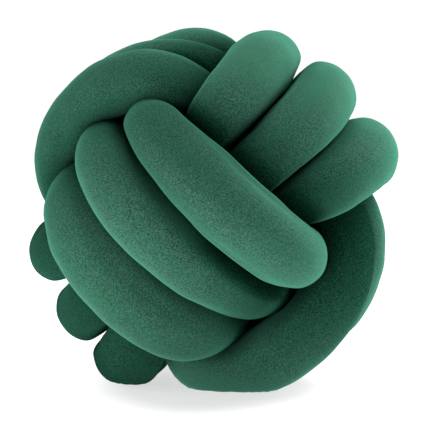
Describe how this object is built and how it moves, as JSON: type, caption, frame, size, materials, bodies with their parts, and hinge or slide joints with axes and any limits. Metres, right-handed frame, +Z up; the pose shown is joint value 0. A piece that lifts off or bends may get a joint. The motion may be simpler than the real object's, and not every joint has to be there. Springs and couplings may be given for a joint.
{
  "type": "knot cushion",
  "caption": "Round knot cushion: a long stuffed velvet tube wound and tucked into a ball, flattened a little where it rests.",
  "frame": {"origin": "on the surface that the cushion rests on, under the middle of its bounding box", "axes": "+Z up; the side that the picture shows faces -Y, with +X to its right"},
  "size_m": [0.2884, 0.2986, 0.2786],
  "materials": {
    "green_velvet": "short-pile velvet, matte with a soft sheen"
  },
  "bodies": {
    "root": {"knotted_tube": "green_velvet"}
  },
  "joints": []
}
